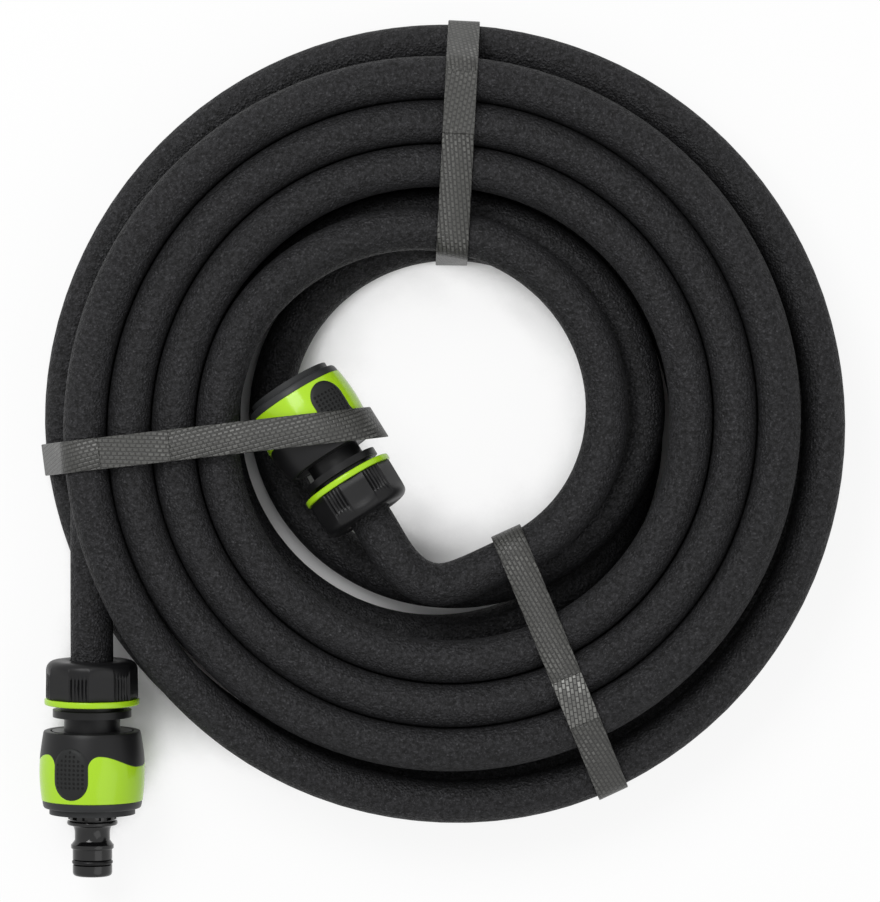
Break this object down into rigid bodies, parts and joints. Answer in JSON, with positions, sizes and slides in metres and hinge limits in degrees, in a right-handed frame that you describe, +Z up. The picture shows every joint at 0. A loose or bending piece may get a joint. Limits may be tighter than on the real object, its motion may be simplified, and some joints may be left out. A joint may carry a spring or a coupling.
{
  "type": "soaker hose",
  "caption": "Coiled porous soaker hose bound with flat straps, with a push-fit connector on each end and a hose plug in the outer one.",
  "frame": {"origin": "centre of the whole outline, on the surface that the pack lies on", "axes": "+Z up out of the lying coil, -Y along the outer connector towards its plug, +X to the right seen from above"},
  "size_m": [0.2919, 0.3115, 0.0573],
  "materials": {
    "porous_rubber": "matt, pressed from rubber crumb, porous",
    "black_plastic": "satin black moulding",
    "lime_plastic": "glossy lime green moulding",
    "soft_grip": "matt soft grip with small dimples",
    "white_plastic": "natural acetal",
    "spring_steel": "bright wire",
    "seal_rubber": "smooth black seal",
    "grey_tape": "woven grey strapping tape"
  },
  "bodies": {
    "pack": {"hose_coil": "porous_rubber", "outer_hose_tail": "porous_rubber", "outer_hose_end": "porous_rubber", "inner_hose_end": "porous_rubber", "outer_body": "black_plastic", "outer_spring": "spring_steel", "outer_end_ring": "black_plastic", "inner_body": "black_plastic", "inner_spring": "spring_steel", "inner_claw_ring": "white_plastic", "inner_end_ring": "black_plastic", "top_strap": "grey_tape", "left_strap": "grey_tape", "lower_strap": "grey_tape"},
    "outer_collet": {"outer_collet": "white_plastic"},
    "outer_nut": {"outer_nut": "black_plastic", "outer_nut_ring": "lime_plastic"},
    "outer_sleeve": {"outer_sleeve": "black_plastic", "outer_sleeve_band": "lime_plastic", "outer_grip_pads": "soft_grip"},
    "outer_claw_ring": {"outer_claw_ring": "white_plastic"},
    "plug": {"outer_plug": "black_plastic", "plug_seals": "seal_rubber"},
    "inner_collet": {"inner_collet": "white_plastic"},
    "inner_nut": {"inner_nut": "black_plastic", "inner_nut_ring": "lime_plastic"},
    "inner_sleeve": {"inner_sleeve": "black_plastic", "inner_sleeve_band": "lime_plastic", "inner_grip_pads": "soft_grip"}
  },
  "joints": [
    {"name": "outer_nut_slide", "type": "slide", "parent": "pack", "child": "outer_collet", "axis": [0, 0.9968, 0.0802], "range_m": [0, 0.003]},
    {"name": "outer_nut_turn", "type": "hinge", "parent": "outer_collet", "child": "outer_nut", "pos_m": [-0.1274, -0.07703, 0.02238], "axis": [0, -0.9968, -0.0802], "range_deg": [-360, 0]},
    {"name": "outer_sleeve_slide", "type": "slide", "parent": "pack", "child": "outer_sleeve", "axis": [0, 0.9968, 0.0802], "range_m": [0, 0.004], "stiffness_N_per_m": 600, "springref_m": -0.004, "deforming": ["outer_spring", "outer_claw_ring"]},
    {"name": "inner_nut_slide", "type": "slide", "parent": "pack", "child": "inner_collet", "axis": [0.527, -0.8434, 0.1045], "range_m": [0, 0.003]},
    {"name": "inner_nut_turn", "type": "hinge", "parent": "inner_collet", "child": "inner_nut", "pos_m": [-0.0265, -0.02463, 0.0391], "axis": [-0.527, 0.8434, -0.1045], "range_deg": [-360, 0]},
    {"name": "inner_sleeve_slide", "type": "slide", "parent": "pack", "child": "inner_sleeve", "axis": [0.527, -0.8434, 0.1045], "range_m": [0, 0.004], "stiffness_N_per_m": 600, "springref_m": -0.004, "deforming": ["inner_spring", "inner_claw_ring"]},
    {"name": "plug_swivel", "type": "hinge", "parent": "pack", "child": "outer_claw_ring", "pos_m": [-0.1274, -0.13275, 0.01789], "axis": [0, -0.9968, -0.0802], "continuous": true},
    {"name": "plug_pull", "type": "slide", "parent": "outer_claw_ring", "child": "plug", "axis": [0, -0.9968, -0.0802], "range_m": [0, 0.026], "deforming": ["outer_claw_ring"]}
  ],
  "couplings": [
    {"joint": "outer_nut_turn", "follows": "outer_nut_slide", "rad_per_m": -2094.4},
    {"joint": "inner_nut_turn", "follows": "inner_nut_slide", "rad_per_m": -2094.4}
  ]
}
